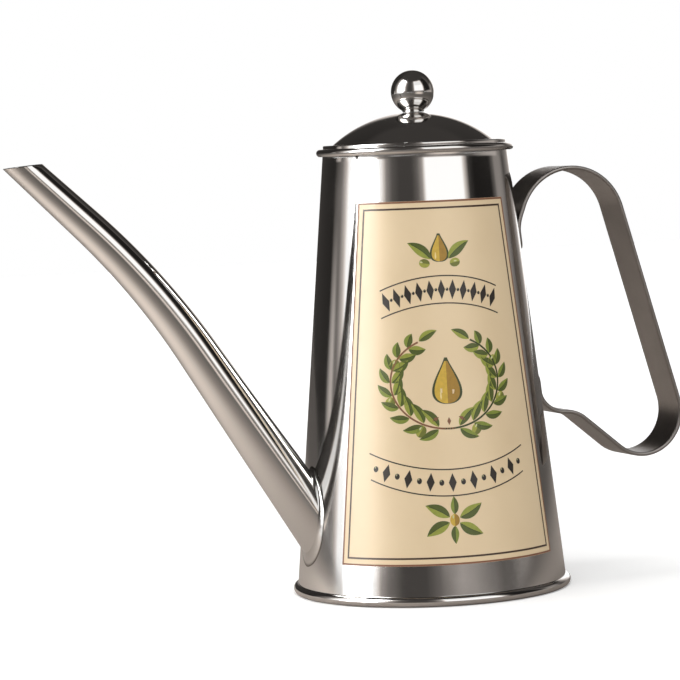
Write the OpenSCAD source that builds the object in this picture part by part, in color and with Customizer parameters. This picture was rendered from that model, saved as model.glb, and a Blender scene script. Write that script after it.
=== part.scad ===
// Conical sheet-metal oil can: seamed base, wired mouth, bent and tapered spout,
// strap handle, printed label, and a lift-off domed lid with a ball knob.
// The can stands on Z = 0 around the Z axis. The spout points to -X, the handle to +X
// and the label faces -Y.

/* [Body] */
// Outer radius of the wall at the middle of the base bead
foot_r = 46.9; // [42:0.1:56]
// Outer radius of the wall at the middle of the mouth bead
mouth_r = 32; // [30:0.5:36]
// Height of the wall between the middles of the two beads
wall_h = 151; // [145:1:175]
// Thickness of the sheet that the wall, base and spout are made of
sheet = 0.6; // [0.5:0.1:0.8]
// Section radius of the bead that the base is seamed with
foot_bead = 1.8; // [1.6:0.1:2.2]
// Section radius of the bead that is rolled at the mouth
mouth_bead = 1.3; // [1.2:0.05:1.6]
// How far the base disc lies above the table
pan_lift = 2.6; // [2.2:0.1:4]
// Width of the flat that the base bead stands on
foot_flat = 1.5; // [1:0.1:1.8]

/* [Spout] */
// Outer diameter where the spout's middle line meets the wall
spout_root_d = 17.6; // [15:0.2:20]
// Outer diameter at the tip
spout_tip_d = 10.2; // [8.5:0.1:12]
// Height at which the spout's middle line meets the wall
spout_root_z = 28.7; // [27:0.1:36]
// Slope of the lower run above the horizontal
spout_low_angle = 57.2; // [54:0.2:60]
// Slope of the upper run above the horizontal
spout_high_angle = 44; // [40:0.2:48]
// Length of the lower straight run
spout_low_run = 70; // [65:1:85]
// Length of the upper straight run
spout_high_run = 29.5; // [22:0.5:36]
// Radius of the bend between the two runs
spout_bend_r = 250; // [180:5:300]
// Slope of the cut across the tip, rising towards the body
spout_cut_angle = 5; // [0:1:12]
// Leg of the solder fillet round the spout's root
fillet_leg = 2.2; // [1.2:0.1:3]

/* [Handle] */
// Width of the strap
strap_w = 16.8; // [15:0.2:22]
// Thickness of the strap
strap_t = 1.4; // [1:0.1:2]
// Height at which the strap leaves the wall at the top
strap_leave_z = 122.3; // [112:0.1:126]
// Radius of the upper bend, at the middle of the strap
strap_top_bend = 19.8; // [16:0.2:22]
// Lean of the grip away from the vertical
grip_lean = 16; // [10:0.5:18]
// Straight length of the grip
grip_run = 72.5; // [66:0.5:76]
// Radius of the lower bend
strap_low_bend = 14.8; // [12:0.2:16]
// Slope of the strap as it returns to the wall
return_angle = 39.8; // [36:0.2:46]
// Radius of the bend where the return levels out
level_bend = 12; // [10:0.5:16]
// Radius of the last bend, up to the lower foot
foot_bend = 8.6; // [5:0.2:9]
// Length of each foot on the wall
foot_len = 6; // [5:0.5:9]
// Radius of the corners of the feet
foot_corner = 3; // [1.5:0.5:4]

/* [Label] */
// Height of the label's lower edge above the table
label_low_z = 13.6; // [12:0.2:20]
// Height of the label's upper edge above the table
label_high_z = 135.4; // [125:0.2:138]
// Half of the angle that the label covers at its lower edge
label_low_half = 52; // [40:0.5:55]
// Half of the angle that the label covers at its upper edge
label_high_half = 47; // [38:0.5:52]
// Angle by which the label is turned from the side towards the spout
label_turn = 11; // [0:0.5:14]
// Thickness of the label's film
label_t = 0.2; // [0.15:0.05:0.4]

/* [Lid] */
// How far the flange's edge lies inside the middle of the mouth bead
flange_in = 1.1; // [0.7:0.1:1.2]
// Height of the flange's hemmed edge
flange_t = 1.9; // [1.5:0.1:2.2]
// Radius of the corners of that edge
edge_r = 0.4; // [0.2:0.05:0.5]
// Width of the flange outside the dome
flange_w = 3.4; // [2.8:0.2:5]
// Height of the dome above the flange
dome_h = 10.5; // [8:0.1:13]
// Thickness of the dome's and flange's sheet
lid_t = 0.6; // [0.5:0.1:0.8]
// Depth of the collar that hangs into the mouth
collar_h = 11; // [8:0.5:14]
// Gap all round between the collar and the mouth
collar_gap = 0.4; // [0.3:0.05:0.6]
// Radius of the knob's ball
ball_r = 7.5; // [6:0.1:9]
// Radius of the knob's neck, on which it stands
neck_r = 3.7; // [3:0.1:4.2]
// Height of the ball's middle above the top of the dome
knob_rise = 7; // [6:0.1:9]
// Radius of the screw that holds the knob
screw_r = 2; // [1.5:0.1:2.2]
// Length of the screw inside the knob
screw_grip = 7; // [5:0.5:8]
// Radius of the screw's head
screw_head_r = 3.8; // [3.4:0.1:4.4]
// Height of the screw's head
screw_head_h = 2.2; // [1.6:0.1:3]
// Outer radius of the washer
washer_r = 4.8; // [4.4:0.1:6]
// Thickness of the washer
washer_t = 0.8; // [0.5:0.1:1.2]
// Width of the slot in the screw's head
slot_w = 1; // [0.8:0.1:1.4]
// Depth of that slot
slot_h = 1; // [0.6:0.1:1.2]

/* [Hidden] */
// Sides of a drawn circle
$fn = 96;
// Gap at a seated or rolled fit between two pieces
fit_gap = 0.02;
// Gap between the lid and the mouth bead that it rests on
seat_gap = 0.1;
// Gaps to the round wall of pieces that have flat facets
spout_gap = 0.02;
fillet_gap = 0.03;
strap_gap = 0.04;
label_gap = 0.05;
// Gap between the solder and the spout, whose facets match
seam_gap = 0.01;
// Gap between the flange's hem and the collar
hem_gap = 0.15;
// Radial gap of the screw in its holes
screw_gap = 0.05;
// Height of the middle of the base bead
foot_z = sqrt(pow(foot_bead, 2) - pow(foot_flat / 2, 2));
// Height of the middle of the mouth bead
mouth_z = foot_z + wall_h;
// Half of the cone's opening angle
cone_angle = atan((foot_r - mouth_r) / wall_h);
// Margin by which a cutting tool passes what it cuts
over = 1;
// Sides and bend rings of the spout
spout_sides = 48;
bend_rings = 9;

function wall_r(z) = foot_r - (z - foot_z) * tan(cone_angle);

// A solid cone that follows the wall's outer face, moved out by grow, between two heights
module wall_cone(grow, low, high) {
    translate([0, 0, low])
        cylinder(h = high - low, r1 = wall_r(low) + grow, r2 = wall_r(high) + grow);
}

/* Body */

// Middle radius of the base bead, on the middle of the sheet
foot_bead_r = foot_r - sheet / 2;
// How far the inside of the mouth bead lies behind the wall's outer face
curl_set = 0.35;
// Middle radius of the mouth bead, which is curled outwards
mouth_bead_r = mouth_r - curl_set + mouth_bead;
// Radius of the wire inside the mouth bead
rim_wire_r = mouth_bead - sheet;

// The rolled wall: a cone of sheet whose upper edge is curled round a wire
module body_wall() {
    color("silver") difference() {
        union() {
            rotate_extrude() polygon([
                [wall_r(foot_z) - sheet, foot_z],
                [wall_r(foot_z), foot_z],
                [mouth_r, mouth_z],
                [mouth_r - sheet, mouth_z]
            ]);
            rotate_extrude() translate([mouth_bead_r, mouth_z]) circle(r = mouth_bead);
        }
        rotate_extrude() translate([mouth_bead_r, mouth_z]) circle(r = rim_wire_r + fit_gap);
        spout_hole();
    }
}

module mouth_rim_wire() {
    color("gray") rotate_extrude() translate([mouth_bead_r, mouth_z]) circle(r = rim_wire_r);
}

// Section of the wall with a gap round it, as the base seam has to clear it
module wall_section(gap) {
    high = foot_z + 2 * foot_bead;
    polygon([
        [wall_r(foot_z) - sheet - gap, foot_z - gap],
        [wall_r(foot_z) + gap, foot_z - gap],
        [wall_r(high) + gap, high],
        [wall_r(high) - sheet - gap, high]
    ]);
}

// Radius of the base disc's turned-down edge
pan_edge_r = foot_bead_r - foot_bead + sheet / 2;

// The pressed base: a raised disc whose edge is rolled round the foot of the wall
module base_pan() {
    color("silver") rotate_extrude() difference() {
        union() {
            difference() {
                translate([foot_bead_r, foot_z]) circle(r = foot_bead);
                translate([foot_bead_r, foot_z]) circle(r = foot_bead - sheet);
            }
            translate([0, pan_lift]) square([pan_edge_r, sheet]);
            translate([pan_edge_r - sheet, foot_z]) square([sheet, pan_lift + sheet - foot_z]);
        }
        wall_section(fit_gap);
        translate([0, -foot_bead]) square([foot_r + 2 * foot_bead, foot_bead]);
    }
}

// Room left between the sealing compound and the top of the rolled seam
seal_room = 0.3;

// Sealing compound that fills the rolled base seam round the wall's edge
module base_seam_seal() {
    color("dimgray") rotate_extrude() difference() {
        translate([foot_bead_r, foot_z]) circle(r = foot_bead - sheet - fit_gap);
        wall_section(fit_gap);
        translate([foot_r - foot_bead, foot_z + foot_bead - sheet - fit_gap - seal_room])
            square([2 * foot_bead, foot_bead]);
    }
}

/* Spout */

// Points of the middle line are [x, z]. The spout climbs towards -X.
spout_bend_a = spout_low_angle - spout_high_angle;
spout_start = [-wall_r(spout_root_z), spout_root_z];
function climb(a) = [-cos(a), sin(a)];
function outward(a) = [-sin(a), -cos(a)];
spout_bend_start = spout_start + spout_low_run * climb(spout_low_angle);
spout_bend_mid = spout_bend_start + spout_bend_r * outward(spout_low_angle);
spout_bend_end = spout_bend_mid - spout_bend_r * outward(spout_high_angle);
spout_tip = spout_bend_end + spout_high_run * climb(spout_high_angle);
spout_len = spout_low_run + spout_bend_r * spout_bend_a * PI / 180 + spout_high_run;
// Outer radius at a length from the wall
function spout_r(s) = (spout_root_d + (spout_tip_d - spout_root_d) * s / spout_len) / 2;

// Stations of the bend: [point, slope, length from the wall]
bend_stations = [
    for (i = [0 : bend_rings - 1])
        let (share = i / (bend_rings - 1), a = spout_low_angle - share * spout_bend_a)
        [spout_bend_mid - spout_bend_r * outward(a), a,
         spout_low_run + share * spout_bend_r * spout_bend_a * PI / 180]
];

// Point at radius r and angle t round a middle line that passes p at the slope a
function ring_point(p, a, r, t) = [
    p[0] - r * cos(t) * sin(a),
    r * sin(t),
    p[1] - r * cos(t) * cos(a)
];
// Point of the lower run, on a skin that is moved out by grow
function run_point(s, grow, t) = ring_point(
    spout_start + s * climb(spout_low_angle), spout_low_angle, spout_r(s) + grow, t);

// Length along the lower run at which the skin's line at angle t comes within gap of the
// wall, found by halving between lo and hi
function off_wall(p) = norm([p[0], p[1]]) - wall_r(p[2]);
function meet(grow, t, gap, lo = -foot_r, hi = foot_r, n = 30) =
    let (mid = (lo + hi) / 2)
    n == 0 ? mid
    : off_wall(run_point(mid, grow, t)) > gap ? meet(grow, t, gap, lo, mid, n - 1)
    : meet(grow, t, gap, mid, hi, n - 1);

// Point where the skin's line at angle t reaches the slanting cut across the tip
function tip_point(inset, t) =
    let (
        q = ring_point([0, 0], spout_high_angle, spout_r(spout_len) - inset, t),
        cut = [sin(spout_cut_angle), -cos(spout_cut_angle)],
        s = ([q[0], q[2]] * cut) / (climb(spout_high_angle) * cut),
        p = spout_tip - s * climb(spout_high_angle)
    )
    [p[0] + q[0], q[1], p[1] + q[2]];

// One line of the spout from wall to tip, at angle t on the skin that is inset by inset
function spout_line(inset, t) = concat(
    [run_point(meet(-inset, t, spout_gap), -inset, t)],
    [for (st = bend_stations) ring_point(st[0], st[1], spout_r(st[2]) - inset, t)],
    [tip_point(inset, t)]
);

// The spout: an outer and an inner skin, joined at the wall and at the tip
module spout_tube() {
    m = bend_rings + 2;
    n = spout_sides;
    color("silver") polyhedron(
        points = [for (j = [0 : n - 1]) each concat(
            spout_line(0, 360 * j / n),
            [for (i = [m - 1 : -1 : 0]) spout_line(sheet, 360 * j / n)[i]])],
        faces = [for (j = [0 : n - 1], k = [0 : 2 * m - 1], half = [0, 1])
            let (a = 2 * m * j + k, b = 2 * m * j + (k + 1) % (2 * m),
                 c = 2 * m * ((j + 1) % n) + k, d = 2 * m * ((j + 1) % n) + (k + 1) % (2 * m))
            half == 0 ? [a, d, b] : [a, c, d]]
    );
}

// The bore of the lower run, which opens the wall at the spout's root
module spout_hole() {
    translate([spout_start[0], 0, spout_start[1]]) rotate([0, -(90 - spout_low_angle), 0])
        translate([0, 0, -spout_root_d])
            cylinder(h = 3 * spout_root_d, r1 = spout_r(-spout_root_d) - sheet,
                r2 = spout_r(2 * spout_root_d) - sheet);
}

// How far the fillet's hollow face is drawn in towards the corner
fillet_hollow = 0.45;

// Four corners of the fillet's section at angle t: root, up the tube, hollow, out on the wall
function fillet_section(t) =
    let (
        s = meet(seam_gap, t, fillet_gap),
        root = run_point(s, seam_gap, t),
        up = run_point(s + fillet_leg, seam_gap, t),
        out = run_point(meet(fillet_leg, t, fillet_gap), fillet_leg, t)
    )
    [root, up, (1 - fillet_hollow) * (up + out) / 2 + fillet_hollow * root, out];

// The fillet of solder round the joint of spout and wall
module spout_solder() {
    n = spout_sides;
    color("gainsboro") polyhedron(
        points = [for (j = [0 : n - 1]) each fillet_section(360 * j / n)],
        faces = [for (j = [0 : n - 1], k = [0 : 3], half = [0, 1])
            let (a = 4 * j + k, b = 4 * j + (k + 1) % 4,
                 c = 4 * ((j + 1) % n) + k, d = 4 * ((j + 1) % n) + (k + 1) % 4)
            half == 0 ? [a, b, d] : [a, d, c]]
    );
}

/* Handle */

// The strap's middle line is walked from the top foot to the lower foot, clockwise seen with
// the handle on the right. Each leg is [straight length, 0] or [bend radius, turn in degrees].
function strap_legs(return_run) = [
    [foot_len, 0],
    [strap_top_bend, -(90 + cone_angle) - (90 - grip_lean)],
    [grip_run, 0],
    [strap_low_bend, -(90 + grip_lean + return_angle)],
    [return_run, 0],
    [level_bend, return_angle],
    [foot_bend, -(90 - cone_angle)],
    [foot_len, 0]
];
function leg_len(leg) = leg[1] == 0 ? leg[0] : leg[0] * abs(leg[1]) * PI / 180;
function ahead(a) = [cos(a), sin(a)];
function left_of(a) = [-sin(a), cos(a)];
// State [point, heading] after the length s of a leg that starts in state st
function walk(st, leg, s) =
    leg[1] == 0 ? [st[0] + s * ahead(st[1]), st[1]]
    : let (side = sign(leg[1]), turn = side * s / leg[0] * 180 / PI)
      [st[0] + side * leg[0] * (left_of(st[1]) - left_of(st[1] + turn)), st[1] + turn];
// State at the start of leg i
function state_at(legs, i) =
    i == 0 ? strap_start
    : walk(state_at(legs, i - 1), legs[i - 1], leg_len(legs[i - 1]));
// Length of the strap before leg i
function length_at(legs, i) = i == 0 ? 0 : length_at(legs, i - 1) + leg_len(legs[i - 1]);

// The middle line starts at the lower end of the upper foot, half a strap off the wall
strap_low_z = strap_leave_z - foot_len * cos(cone_angle);
strap_off = (strap_t / 2 + strap_gap) / cos(cone_angle);
strap_start = [[wall_r(strap_low_z) + strap_off, strap_low_z], 90 + cone_angle];

// The straight return is as long as it takes for the lower foot to lie on the wall
bare_end = state_at(strap_legs(0), len(strap_legs(0)))[0];
return_run = (bare_end[0] - wall_r(bare_end[1]) - strap_off)
    / (cos(return_angle) - sin(return_angle) * tan(cone_angle));
legs = strap_legs(return_run);
strap_len = length_at(legs, len(legs));

// Length of one step of the mesh along a bend, and along a foot
bend_step = 2.6;
foot_step = 1;
// Spaces across the strap's width
strap_cols = 8;
// Length over which the strap flattens from the hollow of its feet
flatten_run = 9;

function leg_steps(leg) =
    leg[1] != 0 ? ceil(leg_len(leg) / bend_step)
    : leg[0] == foot_len ? ceil(foot_len / foot_step) : 1;
// 1 on the feet, easing to 0 where the strap is flat
function hollow_share(d) =
    let (u = min(1, max(0, (d - foot_len) / flatten_run))) 1 - u * u * (3 - 2 * u);
// Half of the strap's width at a distance from its end, with rounded corners
function half_width(d) =
    d >= foot_corner ? strap_w / 2
    : strap_w / 2 - foot_corner + sqrt(pow(foot_corner, 2) - pow(foot_corner - d, 2));
// How far the round wall lies behind its front at a distance y to the side
function wall_drop(z, y) =
    let (rs = wall_r(z) / cos(cone_angle), q = cos(2 * cone_angle) / pow(cos(cone_angle), 2))
    (rs - sqrt(rs * rs - q * y * y)) / q;

// Cross rows of the strap: [point, heading, distance from the nearer end]
strap_rows = [
    for (i = [0 : len(legs) - 1], j = [0 : leg_steps(legs[i]) - (i == len(legs) - 1 ? 0 : 1)])
        let (s = j * leg_len(legs[i]) / leg_steps(legs[i]), d = length_at(legs, i) + s)
        [each walk(state_at(legs, i), legs[i], s), min(d, strap_len - d)]
];

// Point of a row at the share u (-1 to 1) of its width, on the wall side (1) or the free side (-1)
function strap_point(row, u, side) =
    let (y = u * half_width(row[2]),
         push = side * strap_t / 2 + hollow_share(row[2]) * wall_drop(row[0][1], y),
         p = row[0] + push * left_of(row[1]))
    [p[0], y, p[1]];

// The bent strap, as a band of rows whose feet are hollowed to fit the wall
module handle_strap() {
    m = len(strap_rows);
    n = 2 * (strap_cols + 1);
    color("gray") polyhedron(
        points = [for (row = strap_rows) each concat(
            [for (k = [0 : strap_cols]) strap_point(row, 2 * k / strap_cols - 1, 1)],
            [for (k = [strap_cols : -1 : 0]) strap_point(row, 2 * k / strap_cols - 1, -1)])],
        faces = concat(
            [[for (j = [n - 1 : -1 : 0]) j]],
            [for (i = [0 : m - 2], j = [0 : n - 1], half = [0, 1])
                let (a = i * n + j, b = i * n + (j + 1) % n)
                half == 0 ? [a, b + n, a + n] : [a, b, b + n]],
            [[for (j = [0 : n - 1]) (m - 1) * n + j]]
        )
    );
}

/* Label */

// A printed film on the wall, narrower at the top. Its sides are straight from the front.
module front_label() {
    low_half = wall_r(label_low_z) * sin(label_low_half);
    high_half = wall_r(label_high_z) * sin(label_high_half);
    color("wheat") intersection() {
        difference() {
            wall_cone(label_gap + label_t, label_low_z, label_high_z);
            wall_cone(label_gap, label_low_z - over, label_high_z + over);
        }
        rotate([90, 0, -label_turn]) linear_extrude(height = foot_r + over) polygon([
            [-low_half, label_low_z],
            [low_half, label_low_z],
            [high_half, label_high_z],
            [-high_half, label_high_z]
        ]);
    }
}

/* Lid */

// Outer radius of the lid's flange
flange_r = mouth_bead_r - flange_in;
// Radius of the dome where it meets the flange
dome_r = flange_r - flange_w;
// Underside of the flange's edge, whose rounded corner rests on the inner side of the mouth bead
lid_z = mouth_z - edge_r
    + sqrt(pow(mouth_bead + edge_r + seat_gap, 2) - pow(flange_in + edge_r, 2));
// Top of the flange, and the underside of its sheet
flange_z = lid_z + flange_t;
plate_z = flange_z - lid_t;
// Radius of the sphere that the dome is part of
dome_ball = (pow(dome_r, 2) + pow(dome_h, 2)) / (2 * dome_h);
dome_top = flange_z + dome_h;
dome_mid = dome_top - dome_ball;
// Outer radius of the collar
collar_r = mouth_r - sheet - collar_gap;
// Inner radius of the lip by which the collar is fixed under the flange
lip_r = dome_r;
// Inner radius of the flange's hem, a little outside the collar
hem_r = collar_r + hem_gap;
// Radius of the holes for the screw
hole_r = screw_r + screw_gap;

// The pressed lid: a shallow dome whose flat flange ends in a hemmed edge
module lid_dome() {
    color("silver") rotate_extrude() {
        difference() {
            translate([0, dome_mid]) circle(r = dome_ball);
            translate([0, dome_mid]) circle(r = dome_ball - lid_t);
            translate([-dome_ball - over, dome_mid - dome_ball - over])
                square([2 * (dome_ball + over), plate_z + lid_t / 2 - dome_mid + dome_ball + over]);
            translate([-dome_ball - over, dome_mid - dome_ball])
                square([dome_ball + over + hole_r, 3 * dome_ball]);
        }
        translate([dome_r - lid_t, plate_z]) square([flange_r - edge_r - dome_r + lid_t, lid_t]);
        translate([hem_r, lid_z]) square([flange_r - edge_r - hem_r, flange_t]);
        translate([hem_r, lid_z + edge_r]) square([flange_r - hem_r, flange_t - 2 * edge_r]);
        translate([flange_r - edge_r, lid_z + edge_r]) circle(r = edge_r);
        translate([flange_r - edge_r, flange_z - edge_r]) circle(r = edge_r);
    }
}

// The skirt that centres the lid in the mouth, with a lip under the flange
module lid_collar() {
    color("silver") rotate_extrude() {
        translate([lip_r, plate_z - fit_gap - sheet]) square([collar_r - lip_r, sheet]);
        translate([collar_r - sheet, lid_z - collar_h])
            square([sheet, plate_z - fit_gap - lid_z + collar_h]);
    }
}

// Underside of the knob, on the rim of the dome's hole
knob_low = dome_mid + sqrt(pow(dome_ball, 2) - pow(hole_r, 2)) + fit_gap;
knob_mid = dome_top + knob_rise;

// The knob: a ball on a short neck, bored from below for the screw
module knob() {
    color("silver") difference() {
        union() {
            translate([0, 0, knob_mid]) sphere(r = ball_r);
            translate([0, 0, knob_low]) cylinder(h = knob_mid - knob_low, r = neck_r);
        }
        translate([0, 0, knob_low - ball_r]) cylinder(h = ball_r, r = ball_r);
        translate([0, 0, knob_low - over]) cylinder(h = screw_grip + 2 * over, r = hole_r);
    }
}

// Top of the washer, where its edge meets the inside of the dome
washer_top = dome_mid + sqrt(pow(dome_ball - lid_t, 2) - pow(washer_r, 2)) - fit_gap;
head_top = washer_top - washer_t - fit_gap;

module knob_screw() {
    color("gray") difference() {
        union() {
            translate([0, 0, head_top - screw_head_h]) cylinder(h = screw_head_h, r = screw_head_r);
            translate([0, 0, head_top - screw_head_h])
                cylinder(h = knob_low + screw_grip - head_top + screw_head_h, r = screw_r);
        }
        translate([-foot_r, -slot_w / 2, head_top - screw_head_h - over])
            cube([2 * foot_r, slot_w, over + slot_h]);
    }
}

module knob_washer() {
    color("gray") difference() {
        translate([0, 0, washer_top - washer_t]) cylinder(h = washer_t, r = washer_r);
        translate([0, 0, washer_top - washer_t - over]) cylinder(h = washer_t + 2 * over, r = hole_r);
    }
}

body_wall();
mouth_rim_wire();
base_pan();
base_seam_seal();
spout_tube();
spout_solder();
handle_strap();
front_label();
lid_dome();
lid_collar();
knob();
knob_screw();
knob_washer();
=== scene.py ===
# Looks for the oil can: polished conical body, bent spout, satin strap handle, printed
# label and a lift-off lid with a ball knob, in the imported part's frame.
import math

import bmesh
import bpy
import numpy as np
from mathutils import Matrix, Vector


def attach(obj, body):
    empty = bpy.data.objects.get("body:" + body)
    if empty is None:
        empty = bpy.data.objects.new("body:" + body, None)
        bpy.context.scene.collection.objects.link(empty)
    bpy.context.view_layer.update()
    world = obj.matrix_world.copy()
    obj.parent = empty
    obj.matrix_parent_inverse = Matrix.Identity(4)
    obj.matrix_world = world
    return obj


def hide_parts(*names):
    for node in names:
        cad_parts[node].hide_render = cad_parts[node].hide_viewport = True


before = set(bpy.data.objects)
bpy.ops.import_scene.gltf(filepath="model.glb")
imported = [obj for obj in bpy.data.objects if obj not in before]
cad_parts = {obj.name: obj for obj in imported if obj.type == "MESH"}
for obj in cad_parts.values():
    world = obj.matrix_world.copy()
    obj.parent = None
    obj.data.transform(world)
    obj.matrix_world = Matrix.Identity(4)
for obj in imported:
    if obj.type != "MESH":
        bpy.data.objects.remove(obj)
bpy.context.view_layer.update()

# ---- The wall ----
# One sheet of stainless steel, rolled into a cone and polished. Its upper edge is curled
# outwards round a drawn wire, and its foot stands in the rolled edge of the base.
MM = 0.001
FOOT_R, MOUTH_R, WALL_H, SHEET = 46.9, 32.0, 151.0, 0.6
FOOT_BEAD, MOUTH_BEAD, CURL_SET, FOOT_FLAT = 1.8, 1.3, 0.35, 1.5
FOOT_Z = math.sqrt(FOOT_BEAD ** 2 - (FOOT_FLAT / 2) ** 2)
MOUTH_Z = FOOT_Z + WALL_H
CONE = math.atan((FOOT_R - MOUTH_R) / WALL_H)
MOUTH_BEAD_R = MOUTH_R - CURL_SET + MOUTH_BEAD
# Heights where the outer and the inner face end: above the base bead's middle, and below
# the mouth bead's.
OUTER_FOOT, INNER_FOOT, OUTER_CURL, INNER_CURL = 0.2, 3.0, 1.04, 0.9


def wall_r(z):
    """Outer radius of the wall in mm at a height: it falls in a straight line from the foot."""
    return FOOT_R - (z - FOOT_Z) * math.tan(CONE)


def mesh_piece(name, points, faces, body, angle=40, uv=None, weld=True):
    """A mesh object from points in mm and quads, shaded smooth up to an angle in degrees;
    points closer than a ten-thousandth of a millimetre are merged."""
    mesh = bpy.data.meshes.new(name)
    mesh.from_pydata((np.asarray(points).reshape(-1, 3) * MM).tolist(), [], np.asarray(faces).tolist())
    if uv is not None:
        layer = mesh.uv_layers.new(name="UVMap")
        index = np.empty(len(mesh.loops), dtype=np.int32)
        mesh.loops.foreach_get("vertex_index", index)
        layer.data.foreach_set("uv", np.asarray(uv).reshape(-1, 2)[index].astype(np.float32).ravel())
    if weld:
        bm = bmesh.new()
        bm.from_mesh(mesh)
        bmesh.ops.remove_doubles(bm, verts=bm.verts, dist=1e-7)
        bm.to_mesh(mesh)
        bm.free()
    mesh.shade_smooth()
    mesh.set_sharp_from_angle(angle=math.radians(angle))
    obj = bpy.data.objects.new(name, mesh)
    bpy.context.scene.collection.objects.link(obj)
    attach(obj, body)
    return obj


def grid_faces(rows, cols, wrap_rows=False, wrap_cols=False, flip=False):
    """Quads of a grid of rows x cols points; wrapping joins the last row or column to the first."""
    i, j = np.meshgrid(np.arange(rows - (not wrap_rows)), np.arange(cols - (not wrap_cols)), indexing="ij")
    a, b = i * cols + j, i * cols + (j + 1) % cols
    c, d = (i + 1) % rows * cols + (j + 1) % cols, (i + 1) % rows * cols + j
    order = (a, d, c, b) if flip else (a, b, c, d)
    return np.stack([k.ravel() for k in order], axis=1)


def arc(cx, cz, r, a0, a1, steps):
    """Points (radius, height) on a circle round (cx, cz) between two angles in degrees."""
    a = np.radians(np.linspace(a0, a1, steps))
    return np.stack([cx + r * np.cos(a), cz + r * np.sin(a)], axis=1)


def turned(name, profile, body, sides=256, angle=40):
    """A turned piece: each point (radius, height) of the closed profile, walked with the metal
    on its left as seen with the axis to the left, is carried once round Z."""
    profile = np.asarray(profile, dtype=float)
    t = np.linspace(0, 2 * math.pi, sides, endpoint=False)
    r, z = profile[:, 0][:, None], profile[:, 1][:, None]
    points = np.stack([r * np.cos(t), r * np.sin(t), z + 0 * t], axis=2)
    return mesh_piece(name, points, grid_faces(len(profile), sides, True, True), body, angle)


def material(name, colour, metallic, roughness):
    """A new material with its shader's plain values set; returns it with its nodes and links."""
    mat = bpy.data.materials.new(name)
    mat.use_nodes = True
    nodes, links = mat.node_tree.nodes, mat.node_tree.links
    shader = nodes["Principled BSDF"]
    shader.inputs["Base Color"].default_value = (*colour, 1)
    shader.inputs["Metallic"].default_value = metallic
    shader.inputs["Roughness"].default_value = roughness
    return mat, nodes, links, shader


def on_object(nodes):
    """The coordinates of the surface in the object's own frame, in metres."""
    return nodes.new("ShaderNodeTexCoord").outputs["Object"]


def noise(nodes, links, vector, scale, detail, stretch=(1, 1, 1)):
    """The factor of a noise texture on the given coordinates times the stretch."""
    mapping = nodes.new("ShaderNodeMapping")
    mapping.inputs["Scale"].default_value = stretch
    tex = nodes.new("ShaderNodeTexNoise")
    tex.inputs["Scale"].default_value = scale
    tex.inputs["Detail"].default_value = detail
    links.new(vector, mapping.inputs["Vector"])
    links.new(mapping.outputs["Vector"], tex.inputs["Vector"])
    return tex.outputs["Fac"]


def remap(nodes, links, value, low, high, to_low, to_high):
    """The value's stretch low..high laid over to_low..to_high, held at the ends."""
    node = nodes.new("ShaderNodeMapRange")
    for key, number in zip(("From Min", "From Max", "To Min", "To Max"), (low, high, to_low, to_high)):
        node.inputs[key].default_value = number
    links.new(value, node.inputs["Value"])
    return node.outputs["Result"]


def bump(nodes, links, height, strength, distance, after=None):
    """A normal tilted by the slope of the height, times a distance in metres."""
    node = nodes.new("ShaderNodeBump")
    node.inputs["Strength"].default_value = strength
    node.inputs["Distance"].default_value = distance
    links.new(height, node.inputs["Height"])
    if after is not None:
        links.new(after, node.inputs["Normal"])
    return node.outputs["Normal"]


def tint(nodes, links, factor, first, last):
    """The colour that goes in a straight line from the first to the last as the factor rises."""
    ramp = nodes.new("ShaderNodeValToRGB")
    ramp.color_ramp.elements[0].color = (*first, 1)
    ramp.color_ramp.elements[1].color = (*last, 1)
    links.new(factor, ramp.inputs["Fac"])
    return ramp.outputs["Color"]


def refinish(node, mat):
    """Puts a material in the slots of a solid that is kept as it is."""
    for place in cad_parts[node].material_slots:
        place.material = mat


wall = turned("can_wall", np.concatenate([
    [[wall_r(FOOT_Z + OUTER_FOOT) - SHEET, FOOT_Z + OUTER_FOOT]],
    [[wall_r(z), z] for z in np.linspace(FOOT_Z + OUTER_FOOT, MOUTH_Z - OUTER_CURL, 60)],
    arc(MOUTH_BEAD_R, MOUTH_Z, MOUTH_BEAD, -130, 165, 48),
    [[wall_r(z) - SHEET, z] for z in np.linspace(MOUTH_Z - INNER_CURL, FOOT_Z + INNER_FOOT, 40)],
]), "can")
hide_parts("body_wall")

# Polished rolled steel: mirror-like, with faint unevenness, haze in patches and fine scuffs.
steel, nodes, links, shader = material("polished_steel", (0.80, 0.79, 0.775), 1.0, 0.07)
where = on_object(nodes)
haze = noise(nodes, links, where, 45, 5)
scuff = noise(nodes, links, where, 900, 3, (1, 1, 0.06))
links.new(remap(nodes, links, haze, 0.35, 0.75, 0.045, 0.13), shader.inputs["Roughness"])
links.new(tint(nodes, links, haze, (0.76, 0.75, 0.735), (0.84, 0.83, 0.815)), shader.inputs["Base Color"])
sway = bump(nodes, links, noise(nodes, links, where, 28, 1, (1, 1, 0.45)), 0.12, 0.002)
links.new(bump(nodes, links, scuff, 0.006, 0.0002, sway), shader.inputs["Normal"])
wall.data.materials.append(steel)

# The wire in the curl is drawn and plated, as the screw is: dull, with fine turning marks.
plated, nodes, links, shader = material("plated_screw", (0.62, 0.61, 0.60), 1.0, 0.28)
marks = noise(nodes, links, on_object(nodes), 700, 3, (1, 1, 4))
links.new(remap(nodes, links, marks, 0.3, 0.7, 0.2, 0.36), shader.inputs["Roughness"])
links.new(bump(nodes, links, marks, 0.1, 0.0003), shader.inputs["Normal"])
refinish("mouth_rim_wire", plated)

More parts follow.
